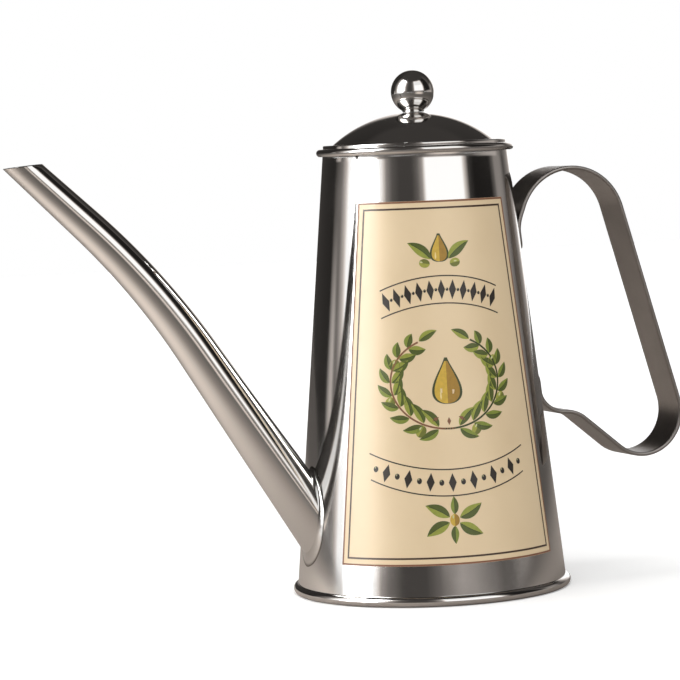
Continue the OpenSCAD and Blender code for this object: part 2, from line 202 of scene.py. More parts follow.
# ---- The base ----
# A pressed disc of the same sheet, raised a little off the table. Its edge is rolled round
# the wall's foot into the bead that the can stands on, over a ring of sealing compound.
PAN_LIFT, PAN_SEAM_R = 2.6, 45.2
BEAD_R = FOOT_R - SHEET / 2
recess_r = BEAD_R - FOOT_BEAD - SHEET / 2
flat_angle = math.degrees(math.asin(FOOT_Z / FOOT_BEAD))
pan = turned("can_base", np.concatenate([
    arc(BEAD_R, FOOT_Z, FOOT_BEAD, -flat_angle, 120, 40),
    [[r, PAN_LIFT + SHEET] for r in np.linspace(PAN_SEAM_R, 0, 24)],
    [[r, PAN_LIFT] for r in np.linspace(0, recess_r, 24)],
    [[recess_r, FOOT_Z + 0.3]],
    arc(BEAD_R, FOOT_Z, FOOT_BEAD, 180, 180 + flat_angle, 12),
]), "can")
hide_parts("base_pan")
pan.data.materials.append(steel)

# Sealing compound: matt dark rubbery filler.
filler, nodes, links, shader = material("seam_compound", (0.03, 0.03, 0.032), 0.0, 0.8)
crumb = noise(nodes, links, on_object(nodes), 400, 3)
links.new(bump(nodes, links, crumb, 0.3, 0.0005), shader.inputs["Normal"])
refinish("base_seam_seal", filler)

# ---- The spout ----
# A tapered tube of sheet, bent upwards once at about two thirds of its length. Its root is
# cut to the wall and soldered on, and its tip is cut nearly level.
ROOT_D, TIP_D, ROOT_Z = 17.6, 10.2, 28.7
LOW_A, HIGH_A, CUT_A = math.radians(57.2), math.radians(44), math.radians(5)
LOW_RUN, HIGH_RUN, BEND_R = 70.0, 29.5, 250.0
BEND_RUN = BEND_R * (LOW_A - HIGH_A)
SPOUT_LEN = LOW_RUN + BEND_RUN + HIGH_RUN
SPOUT_SIDES, SPOUT_ROWS = 128, 90
# The sheet's cut edge: how far back its rounding starts, and where its two rows lie.
LIP, LIP_SHARE = 0.14, 0.28


def climb(a):
    """Direction (x, z) in which the spout rises at a slope: minus the cosine, and the sine."""
    return np.stack([-np.cos(a), np.sin(a)], axis=-1)


def below(a):
    """Direction (x, z) square to the slope, on the lower side."""
    return np.stack([-np.sin(a), -np.cos(a)], axis=-1)


def middle(s):
    """Middle line of the spout and its slope at lengths s from the wall: a straight, one
    circular bend, and a straight."""
    a = LOW_A - np.clip(s - LOW_RUN, 0, BEND_RUN) / BEND_R
    start = np.array([-wall_r(ROOT_Z), ROOT_Z]) + np.minimum(s, LOW_RUN)[..., None] * climb(LOW_A)
    bend = BEND_R * (below(LOW_A) - below(a))
    rest = np.maximum(s - LOW_RUN - BEND_RUN, 0)[..., None] * climb(HIGH_A)
    return start + bend + rest, a


def skin(s, t, grow):
    """Points of the spout's skin at length s and angle t round it: a circle square to the
    middle line, whose diameter falls in a straight line from root to tip, moved out by grow."""
    p, a = middle(s)
    r = (ROOT_D + (TIP_D - ROOT_D) * s / SPOUT_LEN) / 2 + grow
    side = below(a) * (r * np.cos(t))[..., None]
    return np.stack([p[..., 0] + side[..., 0], r * np.sin(t), p[..., 1] + side[..., 1]], axis=-1)


def solve(past, t, low, high):
    """Length s from which past(s) holds along each line t of the skin, by halving the range."""
    low, high = np.full_like(t, low), np.full_like(t, high)
    for _ in range(40):
        mid = (low + high) / 2
        over = past(mid)
        low, high = np.where(over, low, mid), np.where(over, mid, high)
    return high


def root_length(t, grow, gap=0.0):
    """Length at which each line of the skin comes out of the wall, moved out by a gap."""
    def outside(s):
        p = skin(s, t, grow)
        return np.hypot(*p[..., :2].T) - wall_r(p[..., 2]) > gap
    return solve(outside, t, -FOOT_R, FOOT_R)


tip = middle(np.array(SPOUT_LEN))[0]


def tip_length(t, grow):
    """Length at which each line of the skin meets the sloping cut through the tip's middle."""
    def past_cut(s):
        p = skin(s, t, grow)
        return (p[..., 2] - tip[1]) - (p[..., 0] - tip[0]) * math.tan(CUT_A) > 0
    return solve(past_cut, t, LOW_RUN, SPOUT_LEN + 20)


turn = np.linspace(0, 2 * math.pi, SPOUT_SIDES, endpoint=False)
out_root, out_tip = root_length(turn, 0), tip_length(turn, 0)
in_root, in_tip = root_length(turn, -SHEET), tip_length(turn, -SHEET)
share = np.linspace(0, 1, SPOUT_ROWS)[:, None]
around = turn[None, :] + 0 * share
outer = skin(out_root + (out_tip - LIP - out_root) * share, around, 0)
inner = skin(in_root + (in_tip - LIP - in_root) * share[::-1], around, -SHEET)
rim_out, rim_in = skin(out_tip, turn, 0), skin(in_tip, turn, -SHEET)
rim = np.stack([rim_out * (1 - LIP_SHARE) + rim_in * LIP_SHARE,
                rim_out * LIP_SHARE + rim_in * (1 - LIP_SHARE)])
spout_points = np.concatenate([outer, rim, inner])
spout = mesh_piece("can_spout", spout_points,
                   grid_faces(len(spout_points), SPOUT_SIDES, True, True, flip=True), "can", 50)
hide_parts("spout_tube")
spout.data.materials.append(steel)

# ---- The fillet round the spout's root ----
# Solder, flowed into the corner between tube and wall, then wiped and polished. Its face is
# a hollow curve. Its colour darkens towards the wall: painted shade in the crevice there.
LEG, FILLET_ROWS, BURIED, ROOT_DEPTH = 2.2, 9, 0.03, 0.2
# The hollow curve's middle control point: 0.8 of the corner and 0.1 of each end.
AT_CORNER, AT_ENDS = 0.8, 0.1
# Over the outer part of its curve, between the start and end shares across it, the fillet's colour goes from
# the solder's to a painted crevice shade.
SOLDER, PAINTED_CREVICE_SHADE, PAINTED_SHADE_START, PAINTED_SHADE_END = (0.66, 0.655, 0.64), (0.13, 0.11, 0.1), 0.74, 0.9
u = np.linspace(0, 1, FILLET_ROWS)[:, None]
base_s = root_length(turn, 0)
up, out = skin(base_s + LEG, turn, -BURIED), skin(root_length(turn, LEG, -BURIED), turn, LEG)
root, sink = skin(base_s, turn, 0.0), skin(base_s - ROOT_DEPTH, turn, -ROOT_DEPTH)
# A quadratic curve from the tube to the wall, swollen and thinned a little round the root.
from_tube, corner, to_wall = (1 - u)[..., None] ** 2, 2 * ((1 - u) * u)[..., None], (u ** 2)[..., None]
curve = from_tube * up + corner * (AT_CORNER * root + AT_ENDS * (up + out)) + to_wall * out
wobble = 0.06 * np.sin(5 * turn) + 0.05 * np.sin(11 * turn + 1)
curve += (np.sin(math.pi * u) * wobble)[..., None] * (0.5 * (up + out) - root) / LEG
across_curve = np.r_[u[:, 0], 0.5][:, None]
fillet = mesh_piece("spout_fillet", np.concatenate([curve, sink[None]]),
                    grid_faces(FILLET_ROWS + 1, SPOUT_SIDES, True, True), "can", 60,
                    np.stack([turn * 2 + 0 * across_curve, across_curve + 0 * turn], axis=2))
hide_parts("spout_solder")

solder, nodes, links, shader = material("solder", SOLDER, 1.0, 0.22)
grain = noise(nodes, links, on_object(nodes), 500, 4)
links.new(remap(nodes, links, grain, 0.3, 0.7, 0.12, 0.22), shader.inputs["Roughness"])
links.new(bump(nodes, links, grain, 0.06, 0.0002), shader.inputs["Normal"])
apart = nodes.new("ShaderNodeSeparateXYZ")
links.new(nodes.new("ShaderNodeUVMap").outputs["UV"], apart.inputs[0])
# Painted shade: the base colour darkens across the fillet towards the wall, where the crevice lies in shade.
painted_crevice_shade = remap(nodes, links, apart.outputs["Y"], PAINTED_SHADE_START, PAINTED_SHADE_END, 0, 1)
links.new(tint(nodes, links, painted_crevice_shade, SOLDER, PAINTED_CREVICE_SHADE), shader.inputs["Base Color"])
fillet.data.materials.append(solder)

# ---- The handle ----
# A strap of satin sheet, brushed along its length and bent in one piece. Its two feet are
# hollowed to the wall, rounded at the corners and spot-welded on.
STRAP_W, STRAP_T, STRAP_GAP, LEAVE_Z = 16.8, 1.4, 0.04, 122.3
LEAN, RETURN_A = math.radians(16), math.radians(39.8)
TOP_BEND, GRIP, LOW_BEND, LEVEL_BEND = 19.8, 72.5, 14.8, 12.0
FOOT_BEND, FOOT_LEN, CORNER = 8.6, 6.0, 3.0
STRAP_STEP, HOLLOW_RUN, STRAP_EDGE, BACK_SHIFT = 0.55, 9.0, 0.45, 60
RIGHT_ANGLE = math.pi / 2


def heading(a):
    """Direction (x, z) at an angle from +X."""
    return np.stack([np.cos(a), np.sin(a)], axis=-1)


def left(a):
    """Direction (x, z) to the left of a heading."""
    return np.stack([-np.sin(a), np.cos(a)], axis=-1)


def legs(level_run):
    """The strap's legs from its upper foot to its lower one: (straight length, 0) or
    (bend radius, turn), the turn positive to the left."""
    return [(FOOT_LEN, 0), (TOP_BEND, -(RIGHT_ANGLE + CONE) - (RIGHT_ANGLE - LEAN)), (GRIP, 0),
            (LOW_BEND, -(RIGHT_ANGLE + LEAN + RETURN_A)), (level_run, 0), (LEVEL_BEND, RETURN_A),
            (FOOT_BEND, -(RIGHT_ANGLE - CONE)), (FOOT_LEN, 0)]


def strap_line(legs, point, a, step):
    """Rows (x, z, heading, length) along the legs: straights go on in their heading, and
    bends turn about a centre at their radius to the side."""
    rows, length = [], 0.0
    for size, bend in legs:
        side = math.copysign(1, bend)
        leg = size * abs(bend) if bend else size
        count = max(1, round(leg / step))
        for s in np.arange(0, leg, leg / count)[:count]:
            b = a + side * s / size if bend else a
            p = point + (side * size * (left(a) - left(b)) if bend else s * heading(a))
            rows.append((*p, b, length + s))
        end = a + bend
        point = point + (side * size * (left(a) - left(end)) if bend else leg * heading(a))
        a, length = end, length + leg
    rows.append((*point, a, length))
    return np.array(rows)


start_z = LEAVE_Z - FOOT_LEN * math.cos(CONE)
off_wall = (STRAP_T / 2 + STRAP_GAP) / math.cos(CONE)
start = np.array([wall_r(start_z) + off_wall, start_z])
# The level run is as long as it has to be for the lower foot to reach the wall.
bare_end = strap_line(legs(1e-9), start, RIGHT_ANGLE + CONE, 5)[-1]
short_by = bare_end[0] - wall_r(bare_end[1]) - off_wall
level_run = short_by / (math.cos(RETURN_A) - math.sin(RETURN_A) * math.tan(CONE))
line = strap_line(legs(level_run), start, RIGHT_ANGLE + CONE, STRAP_STEP)
from_end = np.minimum(line[:, 3], line[-1, 3] - line[:, 3])
ease = np.clip((from_end - FOOT_LEN) / HOLLOW_RUN, 0, 1)
hollow = (1 - ease * ease * (3 - 2 * ease))[:, None]
cut_back = CORNER - np.sqrt(np.maximum(0, CORNER ** 2 - (CORNER - from_end) ** 2))
half_w = STRAP_W / 2 - np.where(from_end < CORNER, cut_back, 0)
# The cross-section: two flat faces joined by half round edges.
flat = np.linspace(-1, 1, 25)
half_round = np.radians(np.linspace(0, 180, 9)[1:-1])
across = np.concatenate([flat, np.full(7, 1.0), flat[::-1], np.full(7, -1.0)])
past_edge = np.concatenate([0 * flat, np.sin(half_round), 0 * flat, -np.sin(half_round)]) * STRAP_EDGE
through = np.concatenate([1 + 0 * flat, np.cos(half_round), -1 + 0 * flat, -np.cos(half_round)]) * STRAP_T / 2
y = across * (half_w[:, None] - STRAP_EDGE) + past_edge
# On the feet each point moves in by how far the cone's face has curved away at its y.
cone_r = wall_r(line[:, 1:2]) / math.cos(CONE)
bulge = math.cos(2 * CONE) / math.cos(CONE) ** 2
curved_away = (cone_r - np.sqrt(cone_r * cone_r - bulge * y * y)) / bulge
push = through + hollow * curved_away
strap_xz = line[:, None, :2] + push[..., None] * left(line[:, 2])[:, None, :]
strap = mesh_piece("handle_band", np.stack([strap_xz[..., 0], y, strap_xz[..., 1]], axis=2),
                   grid_faces(*y.shape, False, True, flip=True), "can", 40,
                   np.stack([line[:, 3:4] + 0 * y, y + BACK_SHIFT * (through < 0)], axis=2))
caps = bmesh.new()
caps.from_mesh(strap.data)
bmesh.ops.holes_fill(caps, edges=[e for e in caps.edges if e.is_boundary], sides=0)
caps.to_mesh(strap.data)
caps.free()
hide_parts("handle_strap")

satin, nodes, links, shader = material("satin_steel", (0.40, 0.375, 0.355), 1.0, 0.34)
along = nodes.new("ShaderNodeUVMap").outputs["UV"]
brushed = noise(nodes, links, along, 9, 4, (0.05, 1, 1))
cloud = noise(nodes, links, along, 0.12, 3)
links.new(remap(nodes, links, brushed, 0.3, 0.7, 0.27, 0.42), shader.inputs["Roughness"])
links.new(tint(nodes, links, cloud, (0.35, 0.33, 0.31), (0.44, 0.41, 0.39)), shader.inputs["Base Color"])
links.new(bump(nodes, links, brushed, 0.12, 0.0003), shader.inputs["Normal"])
strap.data.materials.append(satin)

# ---- The lid ----
# A shallow dome pressed from the same sheet, with a folded flange that rests on the mouth
# bead, and a collar inside that centres it. It is loose and lifts straight off.
FLANGE_IN, FLANGE_T, FLANGE_W, EDGE_R = 1.1, 1.9, 3.4, 0.4
DOME_H, LID_T, HOLE_R, COVE_R = 10.5, 0.6, 2.05, 0.5
COLLAR_GAP, SEAT_GAP, HEM_GAP = 0.4, 0.1, 0.15
FLANGE_R = MOUTH_BEAD_R - FLANGE_IN
DOME_R = FLANGE_R - FLANGE_W
LID_Z = MOUTH_Z - EDGE_R + math.sqrt((MOUTH_BEAD + EDGE_R + SEAT_GAP) ** 2 - (FLANGE_IN + EDGE_R) ** 2)
BALL = (DOME_R ** 2 + DOME_H ** 2) / (2 * DOME_H)
INNER_BALL = BALL - LID_T
FLANGE_TOP = LID_Z + FLANGE_T
DOME_TOP = FLANGE_TOP + DOME_H
DOME_MID = DOME_TOP - BALL
plate_z = FLANGE_TOP - LID_T
hem_r = MOUTH_R - SHEET - COLLAR_GAP + HEM_GAP
# The cove between flange and dome: a small arc that touches both.
cove_z = FLANGE_TOP + COVE_R
cove_mid = math.sqrt((BALL + COVE_R) ** 2 - (cove_z - DOME_MID) ** 2)
cove_end = math.degrees(math.atan2(DOME_MID - cove_z, -cove_mid))
dome_start = math.degrees(math.atan2(cove_z - DOME_MID, cove_mid))
lid = turned("lid_shell", np.concatenate([
    [[DOME_R - LID_T, plate_z], [hem_r, plate_z], [hem_r, LID_Z]],
    arc(FLANGE_R - EDGE_R, LID_Z + EDGE_R, EDGE_R, -90, 0, 9),
    arc(FLANGE_R - EDGE_R, FLANGE_TOP - EDGE_R, EDGE_R, 0, 90, 9),
    arc(cove_mid, cove_z, COVE_R, -90, cove_end, 8),
    arc(0, DOME_MID, BALL, dome_start + 0.5, math.degrees(math.acos(HOLE_R / BALL)), 70),
    arc(0, DOME_MID, INNER_BALL, math.degrees(math.acos(HOLE_R / INNER_BALL)),
        math.degrees(math.asin((plate_z + LID_T / 2 - DOME_MID) / INNER_BALL)), 50),
]), "lid", angle=50)
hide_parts("lid_dome")
lid.data.materials.append(steel)
refinish("lid_collar", steel)

# ---- The knob ----
# A polished ball on a short neck, turned in one piece and bored from below. A screw with a
# washer holds it from inside the lid.
KNOB_R, NECK_R, RISE, BORE_D = 7.5, 3.7, 7.0, 7.0
KNOB_GAP, NECK_EASE_W, NECK_EASE_H, NECK_COVE = 0.02, 0.15, 0.1, 1.2
KNOB_LOW = DOME_MID + math.sqrt(BALL ** 2 - HOLE_R ** 2) + KNOB_GAP
KNOB_MID = DOME_TOP + RISE
neck_angle = -math.degrees(math.acos(NECK_R / KNOB_R))
knob = turned("lid_knob", np.concatenate([
    [[HOLE_R, KNOB_LOW], [NECK_R - NECK_EASE_W, KNOB_LOW], [NECK_R, KNOB_LOW + NECK_EASE_H]],
    arc(0, KNOB_MID, KNOB_R, neck_angle + NECK_COVE, 90, 90),
    [[0, KNOB_LOW + BORE_D + 1], [HOLE_R, KNOB_LOW + BORE_D + 1]],
]), "lid", sides=160, angle=30)
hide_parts("knob")
knob.data.materials.append(steel)
refinish("knob_screw", plated)
refinish("knob_washer", plated)

# ---- The label ----
# A cream film printed in one piece, varnished and glued to the front of the wall. Its cut is
# straight-sided as seen square to its middle, so its sides follow the cone in a slight curve.
LABEL_LOW, LABEL_HIGH, LABEL_TURN = 13.6, 135.4, math.radians(-11)
HALF_LOW, HALF_HIGH = math.radians(52), math.radians(47)
FILM_FACE, FILM_BACK, FILM_ROWS, FILM_COLS = 0.19, 0.03, 50, 81
side_low, side_high = wall_r(LABEL_LOW) * math.sin(HALF_LOW), wall_r(LABEL_HIGH) * math.sin(HALF_HIGH)


def half_turn(z):
    """Half of the angle that the label covers at a height: the arcsine of its straight
    side's distance from the middle over the wall's radius."""
    side = side_low + (side_high - side_low) * (z - LABEL_LOW) / (LABEL_HIGH - LABEL_LOW)
    return np.arcsin(side / wall_r(z))


def half_width(z):
    """Half of the label's width along the wall at a height."""
    return half_turn(z) * wall_r(z)


def on_wall(x, z, proud):
    """Label coordinates to the wall: x is the arc length from the label's middle line."""
    a = LABEL_TURN + x / wall_r(z)
    r = wall_r(z) + proud
    return np.stack([r * np.sin(a), -r * np.cos(a), z + 0 * x], axis=-1)


zz = np.linspace(LABEL_LOW, LABEL_HIGH, FILM_ROWS)[:, None]
xx = np.linspace(-1, 1, FILM_COLS)[None, :] * half_turn(zz) * wall_r(zz)
film_points = np.concatenate([on_wall(xx, zz, proud).reshape(-1, 3) for proud in (FILM_FACE, FILM_BACK)])
faces = grid_faces(FILM_ROWS, FILM_COLS)
count = FILM_ROWS * FILM_COLS
# Its cut edge: the outline's points in turn, along the foot, up the right side and back.
foot, right_side = np.arange(FILM_COLS - 1), FILM_COLS * np.arange(1, FILM_ROWS) - 1
loop = np.concatenate([foot, right_side, count - 1 - foot, count - 1 - right_side])
edges = np.stack([loop, loop + count, np.roll(loop, -1) + count, np.roll(loop, -1)], axis=1)
film_faces = np.concatenate([faces, faces[:, ::-1] + count, edges])
label = mesh_piece("label_film", film_points, film_faces, "can", 40)
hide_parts("front_label")

# Printed film: warm cream under a clear gloss, with faint mottle.
film, nodes, links, shader = material("printed_film", (0.80, 0.61, 0.37), 0.0, 0.34)
shader.inputs["Coat Weight"].default_value = 1.0
shader.inputs["Coat Roughness"].default_value = 0.42
shader.inputs["Coat IOR"].default_value = 1.8
mottle = noise(nodes, links, on_object(nodes), 60, 6)
links.new(tint(nodes, links, mottle, (0.76, 0.57, 0.335), (0.84, 0.655, 0.405)), shader.inputs["Base Color"])
links.new(remap(nodes, links, mottle, 0.3, 0.7, 0.3, 0.4), shader.inputs["Roughness"])
label.data.materials.append(film)

# ---- The label's print ----
# Border lines, leaves, drops and friezes of ink on the film. Each mark is a thin closed band
# of ink along a middle line, with a half width along it, and may have two tints.
INK_TOP, INK_FOOT = 0.24, 0.12
LEAF, LEAF_DEEP = (0.30, 0.33, 0.05), (0.22, 0.27, 0.04)
SHADE, VEIN = (0.085, 0.11, 0.02), (0.04, 0.055, 0.012)
FRUIT, FRUIT_SHADE, SHINE = (0.36, 0.36, 0.06), (0.16, 0.17, 0.03), (0.62, 0.62, 0.33)
GOLD, AMBER, GLEAM = (0.62, 0.40, 0.05), (0.36, 0.20, 0.025), (0.8, 0.66, 0.3)
INK, BROWN, BORDER = (0.03, 0.024, 0.02), (0.24, 0.10, 0.05), (0.05, 0.025, 0.014)
ink_points, ink_faces, ink_tints = [], [], []


def ink(line, half, left_tint, right_tint=None, top=INK_TOP):
    """A band along the middle line (x, z) in label coordinates: on each side a strip of four
    rows, from the line to its edge, between the ink's foot and top, in that side's tint."""
    line = np.asarray(line, dtype=float)
    half = np.broadcast_to(half, len(line))[:, None]
    run = np.gradient(line, axis=0)
    side = np.stack([-run[:, 1], run[:, 0]], axis=1) / np.linalg.norm(run, axis=1)[:, None]
    for sign, colour in ((1, left_tint), (-1, right_tint or left_tint)):
        edge = line + sign * half * side
        corners = [(line, INK_FOOT), (line, top), (edge, top), (edge, INK_FOOT)][::-sign]
        ring = np.stack([on_wall(at[:, 0], at[:, 1], lift) for at, lift in corners], axis=1)
        first, last = 4 * sum(len(part) for part in ink_points), 4 * (len(line) - 1)
        ink_faces.append(grid_faces(len(line), 4, False, True) + first)
        ink_faces.append(np.array([[3, 2, 1, 0], [last, last + 1, last + 2, last + 3]]) + first)
        ink_points.append(ring)
        ink_tints.append(np.tile((*colour, 1.0), (4 * len(line), 1)))


def leaf(x, z, angle, length, width, light=LEAF, dark=SHADE, curl=0.5):
    """A pointed leaf: its middle line turns by curl, its half width goes as sin(pi u^0.85)^0.9."""
    u = np.linspace(0, 1, 15)
    a = math.radians(angle) + curl * (u - 0.5)
    line = np.cumsum(np.stack([np.cos(a), np.sin(a)], axis=1) * length / 14, axis=0) + (x, z)
    ink(line, width / 2 * np.abs(np.sin(math.pi * u ** 0.85)) ** 0.9 + 0.03, light, dark)
    ink(line[1:-2], 0.11, VEIN, top=INK_TOP + 0.008)


def fruit(x, z, angle, length, light=FRUIT, dark=FRUIT_SHADE):
    """An oval berry with a lit spot, or a dot: half width 0.4 length sqrt(1 - u^2)."""
    a = math.radians(angle)
    u = np.sin(np.linspace(-math.pi / 2, math.pi / 2, 13))
    line = np.stack([x + u * length / 2 * math.cos(a), z + u * length / 2 * math.sin(a)], axis=1)
    ink(line, 0.4 * length * np.sqrt(1 - u * u) + 0.02, light, dark)
    ink(line[6:10] + (-0.13 * length, 0.1 * length), (0.01, 0.07 * length, 0.06 * length, 0.01), SHINE,
        top=INK_TOP + 0.008)


def drop(x, z, height, width):
    """A drop hanging from its tip: half width goes as u^1.2 sqrt(1 - u^2) down its height,
    over the largest value of that, 0.468."""
    u = np.sin(np.linspace(0, math.pi / 2, 19))
    line = np.stack([x + 0 * u, z + height / 2 - u * height], axis=1)
    half = width / 2 * u ** 1.2 * np.sqrt(np.maximum(0, 1 - u * u)) / 0.468
    ink(line, half + 0.45, VEIN)
    ink(line[1:] + (0, 0.15), half[1:] * 0.92, AMBER, GOLD, top=INK_TOP + 0.006)
    ink(line[8:14] + (-0.24 * width, 0), (0.02, 0.16, 0.24, 0.26, 0.2, 0.02), GLEAM, top=INK_TOP + 0.01)


def lozenge(x, z, angle, length, width, colour=INK):
    """A lozenge along an angle: half width falls in a straight line from its middle to its tips."""
    a = math.radians(angle)
    line = np.array([(x + k * length / 2 * math.cos(a), z + k * length / 2 * math.sin(a))
                     for k in (-1, -0.5, 0, 0.5, 1)])
    ink(line, (0.02, width / 4, width / 2, width / 4, 0.02), colour)


def bow(x, z, rise, span):
    """Height at x of a parabola that is z at its ends, x = -span and span, and z + rise midway."""
    return z + rise * (1 - (x / span) ** 2)


# Border: a brown line on the film's edge and a dark one inside it.
BORDER_HALF, EDGE_INSET, LINE_INSET = 0.3, 0.35, 2.55
for inset, colour in ((EDGE_INSET, BROWN), (LINE_INSET, BORDER)):
    low, high = LABEL_LOW + inset, LABEL_HIGH - inset
    zs = np.linspace(low - BORDER_HALF, high + BORDER_HALF, 60)
    for sign in (-1, 1):
        ink(np.stack([sign * (half_width(zs) - inset), zs], axis=1), BORDER_HALF, colour)
    for z in (low, high):
        reach = half_width(z) - inset - BORDER_HALF
        ink(np.linspace((-reach, z), (reach, z), 60), BORDER_HALF, colour)

# Head piece: a drop between two leaves and two berries.
drop(0, 119.5, 9.5, 5.6)
for sign in (-1, 1):
    leaf(sign * 2.6, 115.2, 90 - sign * 52, 9.5, 3.6, curl=-0.5 * sign)
    fruit(sign * 5.2, 114.4, 90 - sign * 80, 3.6)

# Arched frieze of lozenges and dots between two thin lines.
ARCH_Z, ARCH_RISE, ARCH_SPAN, ARCH_LINES, ARCH_PITCH, THIN = 101, 4.5, 21, 4.6, 3.8, 0.2
for offset in (-ARCH_LINES, ARCH_LINES):
    xs = np.linspace(-ARCH_SPAN, ARCH_SPAN, 50)
    ink(np.stack([xs, bow(xs, ARCH_Z + offset, ARCH_RISE, ARCH_SPAN)], axis=1), THIN, INK)
for k in range(-5, 6):
    x = ARCH_PITCH * k
    slope = math.degrees(math.atan(-2 * ARCH_RISE * x / ARCH_SPAN ** 2))
    lozenge(x, bow(x, ARCH_Z, ARCH_RISE, ARCH_SPAN), 90 + slope, 6.6, 2.5)
    if k < 5:
        x += ARCH_PITCH / 2
        fruit(x, bow(x, ARCH_Z, ARCH_RISE, ARCH_SPAN), 90, 1.1, INK, INK)

# Wreath: two leafy twigs that rise from the foot round a large drop, tied by three lozenges.
WREATH_Z, WREATH_W, WREATH_H, TWIG = 74.5, 19.0, 15.5, 0.3
for sign in (-1, 1):
    t = np.radians(np.linspace(-96, 62, 60))
    twig = np.stack([sign * WREATH_W * np.cos(t), WREATH_Z + WREATH_H * np.sin(t)], axis=1)
    ink(twig, TWIG, BROWN if sign < 0 else VEIN)
    for k in range(9):
        i = 6 + 6 * k
        x, z = twig[i]
        angle = math.degrees(math.atan2(*(twig[i + 1] - twig[i])[::-1]))
        leaf(x, z, angle + 38 * sign, 8.2 - 0.3 * k, 3.1, curl=-0.6 * sign)
        leaf(x, z, angle - 36 * sign, 7.4 - 0.3 * k, 2.8, light=LEAF_DEEP, curl=0.6 * sign)
        if k % 3 == 1:
            fruit(x + sign * 1.2, z - 2.2, 60, 4.2)
    leaf(*twig[-1], 150 if sign > 0 else 30, 7.0, 2.8, curl=0.4 * sign)
drop(0, WREATH_Z + 0.5, 15.5, 9.4)
for angle in (-150, -90, -30):
    lozenge(5.2 * math.cos(math.radians(angle)), WREATH_Z - 11.4 + 1.6 * math.sin(math.radians(angle)),
            angle, 2.6, 1.3, BROWN)

# Lower frieze, hanging like a garland between two thin lines: lozenges and dots.
GARLAND_Z, GARLAND_SAG, GARLAND_SPAN, GARLAND_LINES, GARLAND_PITCH = 41.0, 5.5, 27, 4.4, 3.7

def garland(x, offset=0):
    """Height at x of the garland's middle line, or of a line at an offset above it."""
    return bow(x, GARLAND_Z + offset, -GARLAND_SAG, GARLAND_SPAN) + GARLAND_SAG


for k in range(-7, 8):
    x = GARLAND_PITCH * k
    z = garland(x)
    slope = math.degrees(math.atan(2 * GARLAND_SAG * x / GARLAND_SPAN ** 2))
    if k % 2:
        fruit(x, z, 90 + slope, 2.0, INK, INK)
    else:
        lozenge(x, z, 90 + slope, 6.2, 2.7)
xs = np.linspace(-GARLAND_SPAN - 1, GARLAND_SPAN + 1, 60)
for offset in (-GARLAND_LINES, GARLAND_LINES):
    ink(np.stack([xs, garland(xs, offset)], axis=1), THIN, INK)

# Foot piece: a rosette of six leaves round a golden berry.
ROSETTE_Z = 28.5
for angle in (28, 152, 208, 332):
    leaf(1.3 * math.cos(math.radians(angle)), ROSETTE_Z + 1.3 * math.sin(math.radians(angle)), angle,
         9.0, 3.8, curl=0.35)
for angle, lift in ((90, 1.5), (270, -1.5)):
    leaf(0, ROSETTE_Z + lift, angle, 6.0, 2.6, light=LEAF_DEEP, curl=0.2)
fruit(0, ROSETTE_Z, 90, 4.0, GOLD, AMBER)

print_piece = mesh_piece("label_print", np.concatenate([part.reshape(-1, 3) for part in ink_points]),
                         np.concatenate(ink_faces), "can", 40, weld=False)
tints = print_piece.data.color_attributes.new(name="Ink", type="FLOAT_COLOR", domain="POINT")
tints.data.foreach_set("color", np.concatenate(ink_tints).astype(np.float32).ravel())

# Ink, duller than the film: its tint is in the print's colour attribute, worn by fine noise.
printing_ink, nodes, links, shader = material("label_ink", (0.3, 0.3, 0.1), 0.0, 0.36)
shader.inputs["Coat Weight"].default_value = 0.3
shader.inputs["Coat Roughness"].default_value = 0.3
shader.inputs["Coat IOR"].default_value = 1.5
tint_in = nodes.new("ShaderNodeVertexColor")
tint_in.layer_name = "Ink"
worn = nodes.new("ShaderNodeMix")
worn.data_type = "RGBA"
worn.blend_type = "MULTIPLY"
worn.inputs["Factor"].default_value = 1.0
links.new(tint_in.outputs["Color"], worn.inputs["A"])
wear = noise(nodes, links, on_object(nodes), 900, 4)
links.new(tint(nodes, links, wear, (0.75, 0.75, 0.75), (1.2, 1.2, 1.2)), worn.inputs["B"])
links.new(worn.outputs["Result"], shader.inputs["Base Color"])
print_piece.data.materials.append(printing_ink)


# ---- The studio's floor ----
# White paper that keeps the can's shadow. For the camera, glossy and transmission rays it
# also glows a little, more with distance from the can, up to the white of the backdrop.
def seen_rays(nodes, links):
    """A link that is 1 for the camera's, glossy and transmission rays and 0 for others."""
    rays = nodes.new("ShaderNodeLightPath").outputs
    total = rays["Is Camera Ray"]
    for ray in ("Is Glossy Ray", "Is Transmission Ray"):
        either = nodes.new("ShaderNodeMath")
        either.operation = "MAXIMUM"
        links.new(total, either.inputs[0])
        links.new(rays[ray], either.inputs[1])
        total = either.outputs[0]
    return total


def set_piece(name, points, faces):
    """A mesh in metres that is part of the set, not of the object."""
    obj = bpy.data.objects.new(name, bpy.data.meshes.new(name))
    points = np.asarray(points, dtype=float).reshape(-1, 3)
    obj.data.from_pydata(points.tolist(), [], np.asarray(faces).tolist())
    bpy.context.scene.collection.objects.link(obj)
    return obj


FLOOR, FLOOR_Z = 3, -0.0001
floor = set_piece("floor", [(x * FLOOR, y * FLOOR, FLOOR_Z) for x, y in ((-1, -1), (1, -1), (1, 1), (-1, 1))],
                  [(0, 1, 2, 3)])
paper, nodes, links, shader = material("floor_paper", (0.94, 0.94, 0.935), 0.0, 0.9)
distance = nodes.new("ShaderNodeVectorMath")
distance.operation = "LENGTH"
links.new(on_object(nodes), distance.inputs[0])
glow = nodes.new("ShaderNodeMath")
glow.operation = "MULTIPLY"
links.new(remap(nodes, links, distance.outputs["Value"], 0.2, 1.2, 0.22, 0.45), glow.inputs[0])
links.new(seen_rays(nodes, links), glow.inputs[1])
shader.inputs["Emission Color"].default_value = (1, 1, 1, 1)
links.new(glow.outputs[0], shader.inputs["Emission Strength"])
floor.data.materials.append(paper)
